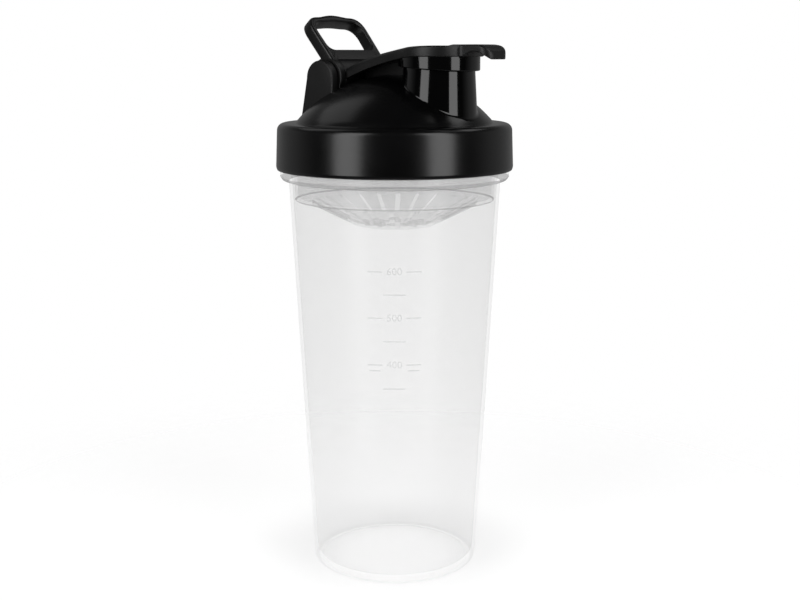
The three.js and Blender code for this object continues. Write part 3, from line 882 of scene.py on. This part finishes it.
def make_loop_frame():
    """The loop's rounded bar, as rings that go round its section: outer side, front, window side, back."""
    outer = loop_outline(0.0, 1.0, LOOP["top"], 0.6, LOOP["outer_corner"], LOOP["crown"])
    window = loop_outline(LOOP["leg"], LOOP["window_low"], LOOP["window_top"], 4.0, LOOP["inner_corner"],
                          0.4 * LOOP["crown"])
    outer_out, window_out = outward_normals(outer), outward_normals(window)
    outer_round, inner_round, groove = LOOP["outer_round"], LOOP["inner_round"], LOOP["groove"]
    back, front = LOOP["back"], LOOP["front"]
    bm = bmesh.new()
    rings = []

    def ring(outline, normals, outset, depth):
        points = []
        for (u, v), normal in zip(outline, normals):
            flat = Vector((depth, u + normal.x * outset, v + normal.y * outset))
            points.append(bm.verts.new((LEAN @ flat) * MM))
        rings.append(points)

    quarter = [math.pi / 2 * i / 5 for i in range(6)]
    for a in quarter:
        ring(outer, outer_out, -outer_round * (1 - math.sin(a)), back + outer_round * (1 - math.cos(a)))
    for a in quarter:
        ring(outer, outer_out, -outer_round * (1 - math.cos(a)), front - outer_round * (1 - math.sin(a)))
    for step, depth in ((0.05, 0.0), (0.15, groove), (0.3, groove), (0.4, 0.0)):
        ring(outer, outer_out, -outer_round - step, front - depth)
    for a in quarter:
        ring(window, window_out, inner_round * (1 - math.sin(a)), front - inner_round * (1 - math.cos(a)))
    for a in quarter:
        ring(window, window_out, inner_round * (1 - math.cos(a)), back + inner_round * (1 - math.sin(a)))
    for low, high in zip(rings, rings[1:] + rings[:1]):
        bridge(bm, low, high)
    return make_object(bm, "loop_frame", LOOP_BLACK)


def make_carry_loop():
    half, lug_inner = LOOP["half"], LOOP["lug_inner"]
    loop = make_loop_frame()
    boolean(loop, hinge_disc("clear", LOOP["clear"], -lug_inner, lug_inner, LOOP_BLACK, 0), "DIFFERENCE")
    for near, far in ((-half, -lug_inner), (lug_inner, half)):
        boolean(loop, hinge_disc("lug", LOOP["lug"], near, far, LOOP_BLACK, 0.4), "UNION")
    return cut(loop, hinge_disc("bore", PIN["bore"], -20, 20, LOOP_BLACK, 0))


# ---- floor, lights and background, in metres ----
# painted light: the floor's emission is brighter in a pool under the cup's hazy base, inside the first pair
# of radii
FLOOR = dict(radius=0.31, fade_radii=(0.10, 0.30), painted_pool_radii=(0.022, 0.035), emission_and_painted_pool=(0.74, 0.61))
FRONT_AZIMUTH = -51.8       # the lights are set out from here, which is close to the camera's side
LIT_HEIGHT = 0.19           # the height on the lid that the lights aim at


def floor_paint():
    """Pale and faintly emissive near the bottle, with a brighter painted pool of light under its hazy base,
    and fading out into the white background further off."""
    material, tree, shader = new_material("floor_pale")
    cloud = noise_at(tree, 6.0)
    tree.links.new(tinted(tree, cloud, (0.69, 0.69, 0.69), (0.71, 0.71, 0.71)), shader.inputs["Base Color"])
    shader.inputs["Roughness"].default_value = 0.7
    shader.inputs["Specular IOR Level"].default_value = 0.1
    shader.inputs["Emission Color"].default_value = (1, 1, 1, 1)
    coordinates = tree.nodes.new("ShaderNodeTexCoord")
    length = tree.nodes.new("ShaderNodeVectorMath")
    length.operation = "LENGTH"
    tree.links.new(coordinates.outputs["Object"], length.inputs[0])
    distance = length.outputs["Value"]
    # painted light: the emission steps up under the cup's base
    emission_and_painted_pool = map_range(tree, distance, FLOOR["painted_pool_radii"], FLOOR["emission_and_painted_pool"])
    tree.links.new(emission_and_painted_pool, shader.inputs["Emission Strength"])
    fade = map_range(tree, distance, FLOOR["fade_radii"], (0, 1), "SMOOTHSTEP")
    clear = tree.nodes.new("ShaderNodeBsdfTransparent")
    set_surface(tree, mix_shaders(tree, fade, shader.outputs["BSDF"], clear.outputs["BSDF"]))
    return material


def make_floor():
    bm = bmesh.new()
    bmesh.ops.create_circle(bm, cap_ends=True, segments=96, radius=FLOOR["radius"])
    floor = make_object(bm, "floor", floor_paint())
    if floor.data.polygons[0].normal.z < 0:
        floor.data.flip_normals()
    return floor


def add_softbox(name, turn, rise, distance, size, watts, only=None):
    """A rectangular light aimed at the lid, turned from the front and raised above it by angles in
    degrees. only is the one piece that it lights, if it is given."""
    data = bpy.data.lights.new(name, "AREA")
    data.shape = "RECTANGLE"
    data.size, data.size_y = size
    data.energy = watts
    light = bpy.data.objects.new(name, data)
    light.visible_camera = False
    azimuth, rise = math.radians(FRONT_AZIMUTH + turn), math.radians(rise)
    aim = Vector((math.cos(azimuth) * math.cos(rise), math.sin(azimuth) * math.cos(rise), math.sin(rise)))
    light.location = Vector((0.0, 0.0, LIT_HEIGHT)) + aim * distance
    light.rotation_euler = aim.to_track_quat("Z", "Y").to_euler()
    bpy.context.scene.collection.objects.link(light)
    if only:
        receivers = bpy.data.collections.new(name + "_receivers")
        receivers.objects.link(only)
        light.light_linking.receiver_collection = receivers


def set_world():
    """White to the camera. Everything else sees a dim band low down behind the bottle, and near darkness."""
    world = bpy.data.worlds.new("world")
    world.use_nodes = True
    tree = world.node_tree
    way = tree.nodes.new("ShaderNodeTexCoord").outputs["Generated"]
    behind = tree.nodes.new("ShaderNodeVectorMath")
    behind.operation = "DOT_PRODUCT"
    azimuth = math.radians(FRONT_AZIMUTH + 180)
    behind.inputs[1].default_value = (math.cos(azimuth), math.sin(azimuth), 0)
    tree.links.new(way, behind.inputs[0])
    height = tree.nodes.new("ShaderNodeSeparateXYZ")
    tree.links.new(way, height.inputs["Vector"])
    band = tree.nodes.new("ShaderNodeMath")
    band.operation = "MULTIPLY"
    tree.links.new(map_range(tree, behind.outputs["Value"], (-0.25, 0.25), (0, 1)), band.inputs[0])
    tree.links.new(map_range(tree, height.outputs["Z"], (0.60, 0.30), (0, 1)), band.inputs[1])
    dim = map_range(tree, band.outputs["Value"], (0, 1), (0.02, 0.24))
    rays = tree.nodes.new("ShaderNodeLightPath")
    strength = tree.nodes.new("ShaderNodeMix")
    strength.inputs["B"].default_value = 1.0
    tree.links.new(rays.outputs["Is Camera Ray"], strength.inputs["Factor"])
    tree.links.new(dim, strength.inputs["A"])
    background = tree.nodes["Background"]
    background.inputs["Color"].default_value = (1, 1, 1, 1)
    tree.links.new(strength.outputs["Result"], background.inputs["Strength"])
    bpy.context.scene.world = world


def set_viewing():
    bpy.context.scene.view_settings.view_transform = "Standard"
    # the strainer is seen through many layers of hazy plastic
    bpy.context.scene.cycles.transparent_max_bounces = 32


# ---- build ----
add_camera()


def add_piece(piece, body, slot, *nodes):
    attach(piece, body)
    if nodes:
        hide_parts(*nodes)


add_piece(make_cup(), "cup", "cup_plastic", "cup")
add_piece(make_graduations(), "cup", "cup_plastic")
add_piece(make_strainer(), "strainer", "strainer_plastic", "strainer")
add_piece(make_lid(), "lid", "lid_plastic", "lid")
add_piece(make_gasket(), "gasket", "seal_rubber", "lid_gasket")
add_piece(make_flip_cap(), "cap", "cap_plastic", "flip_cap")
add_piece(make_spout_seal(), "cap", "seal_rubber", "spout_seal")
add_piece(make_pin(), "pin", "pin_steel", "hinge_pin")
add_piece(make_carry_loop(), "loop", "lid_plastic", "carry_loop")
floor = make_floor()
add_softbox("left_box", -43, 15, 0.98, (0.46, 1.3), 5.8)
add_softbox("right_box", 46, 15, 0.98, (0.44, 1.3), 5.6)
add_softbox("back_left_box", -124, 50, 1.0, (0.55, 0.50), 0.45)
add_softbox("back_right_box", 116, 54, 1.0, (0.45, 0.45), 0.7)
add_softbox("floor_box", 0, 88, 1.8, (0.3, 0.3), 6.5, only=floor)
set_world()
set_viewing()
